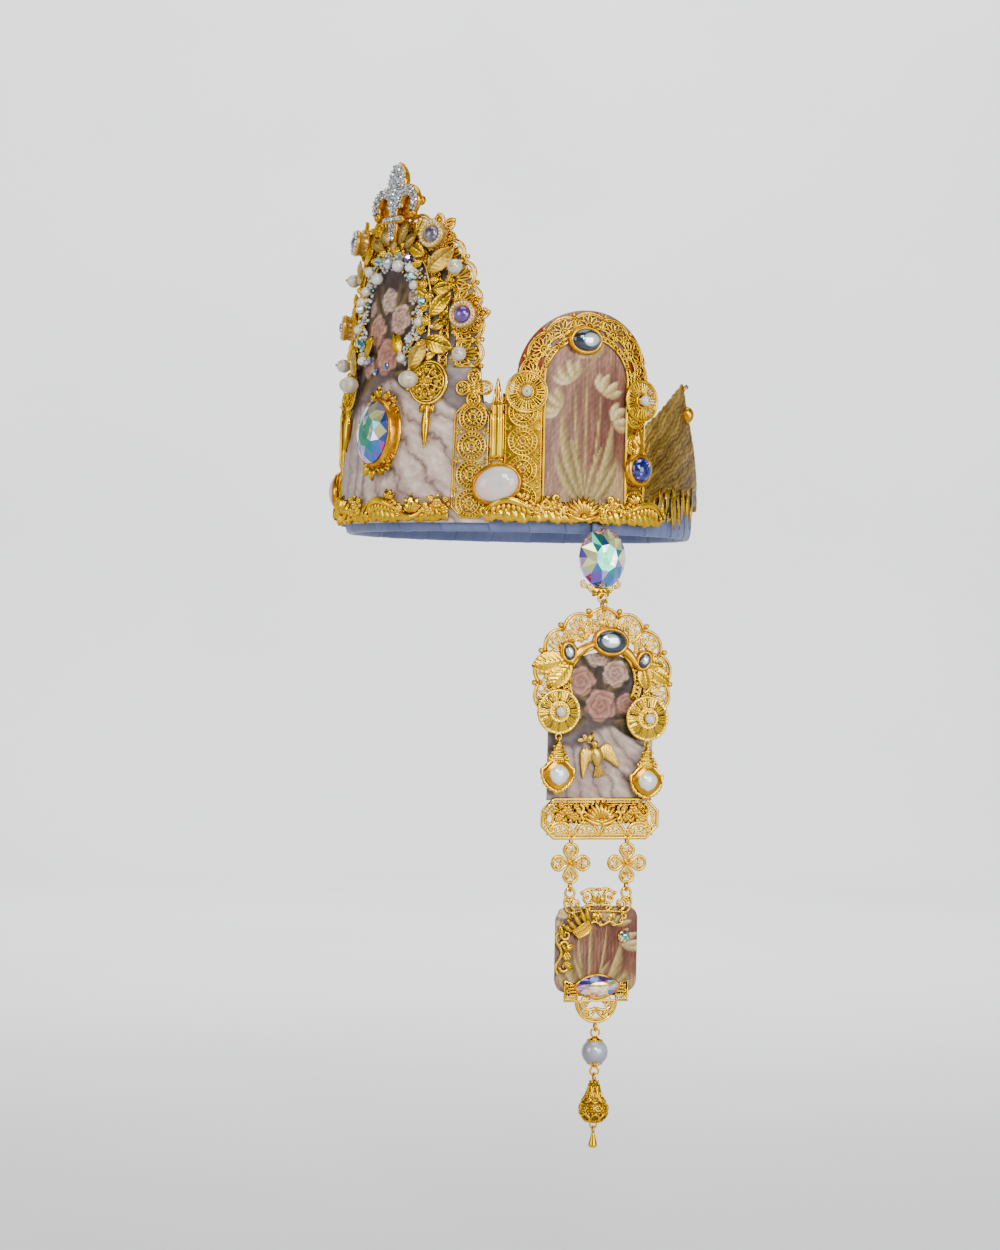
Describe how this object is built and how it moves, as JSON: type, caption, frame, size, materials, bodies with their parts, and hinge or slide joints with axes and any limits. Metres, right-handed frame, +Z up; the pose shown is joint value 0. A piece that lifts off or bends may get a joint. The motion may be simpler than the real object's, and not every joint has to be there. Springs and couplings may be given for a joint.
{
  "type": "jeweled crown",
  "caption": "Tall-fronted costume crown on a padded head band, with arched filigree panels, stones and pearls, and a long hinged temple pendant.",
  "frame": {"origin": "centre of the head opening at the band's lower rim", "axes": "+Z up the wall, -Y out of the tall front panel, +X to the wearer's left temple, where the pendant hangs"},
  "size_m": [0.1885, 0.1707, 0.4298],
  "materials": {
    "gilt": "bright gilt filigree",
    "bronze": "rough gilt mesh, half bright",
    "cotton": "matt wound ribbon",
    "picture": "varnished print",
    "rose_wood": "varnished, grained",
    "amber_resin": "glossy resin round a pale stone",
    "crystal": "cut, foil-backed",
    "mirror_stone": "domed and polished",
    "cobalt": "domed and polished",
    "opal": "glossy white dome",
    "pearl": "lustrous"
  },
  "bodies": {
    "crown": {"head_band": "cotton", "front_panel": "picture", "front_arch": "gilt", "front_strip_l": "gilt", "front_strip_r": "gilt", "side_panel_l": "picture", "side_panel_r": "picture", "side_filigree_l": "gilt", "side_filigree_r": "gilt", "front_disc_l": "gilt", "front_disc_r": "gilt", "rear_disc_l": "gilt", "rear_disc_r": "gilt", "opal_l": "opal", "opal_r": "opal", "mirror_stone_l": "mirror_stone", "mirror_stone_r": "mirror_stone", "cobalt_stone_l": "cobalt", "cobalt_stone_r": "cobalt", "back_leaf_l": "bronze", "back_leaf_r": "bronze", "front_trim": "gilt", "side_trim_l": "gilt", "side_trim_r": "gilt", "fleur_finial": "crystal", "ring_stone_upper_l": "amber_resin", "ring_stone_upper_r": "amber_resin", "ring_stone_lower_l": "amber_resin", "ring_stone_lower_r": "amber_resin", "medallion_l": "gilt", "medallion_r": "gilt", "main_crystal": "crystal", "pearl_upper_l": "pearl", "pearl_upper_r": "pearl", "pearl_lower_l": "pearl", "pearl_lower_r": "pearl", "bead_halo": "pearl", "leaf_spray_l": "gilt", "leaf_spray_r": "gilt", "stud_crystal": "crystal"},
    "pendant": {"pendant_ring": "gilt", "pendant_panel": "picture", "pendant_arch": "gilt", "pendant_stones": "mirror_stone", "ray_disc_front": "gilt", "ray_disc_back": "gilt", "side_drop_front": "gilt", "side_drop_back": "gilt", "dove": "gilt", "pendant_bar": "gilt"},
    "plaque_group": {"link_front": "gilt", "link_back": "gilt", "connector": "gilt", "plaque": "rose_wood", "crown_charm": "gilt", "plaque_scroll": "gilt", "marquise_crescent": "gilt"},
    "end_drop": {"pearl_drop": "pearl", "pear_bead": "gilt", "tear_drop": "gilt"}
  },
  "joints": [
    {"name": "pendant_swing", "type": "hinge", "parent": "crown", "child": "pendant", "pos_m": [0.08479, -0.0171, -0.0292], "axis": [-0.3256, -0.9455, 0], "range_deg": [-8, 45]},
    {"name": "plaque_swing", "type": "hinge", "parent": "pendant", "child": "plaque_group", "pos_m": [0.08479, -0.0171, -0.13104], "axis": [-0.3256, -0.9455, 0], "range_deg": [-30, 40]},
    {"name": "drop_swing", "type": "hinge", "parent": "plaque_group", "child": "end_drop", "pos_m": [0.08475, -0.01708, -0.21454], "axis": [0.9455, -0.3256, 0], "range_deg": [-35, 35]}
  ]
}
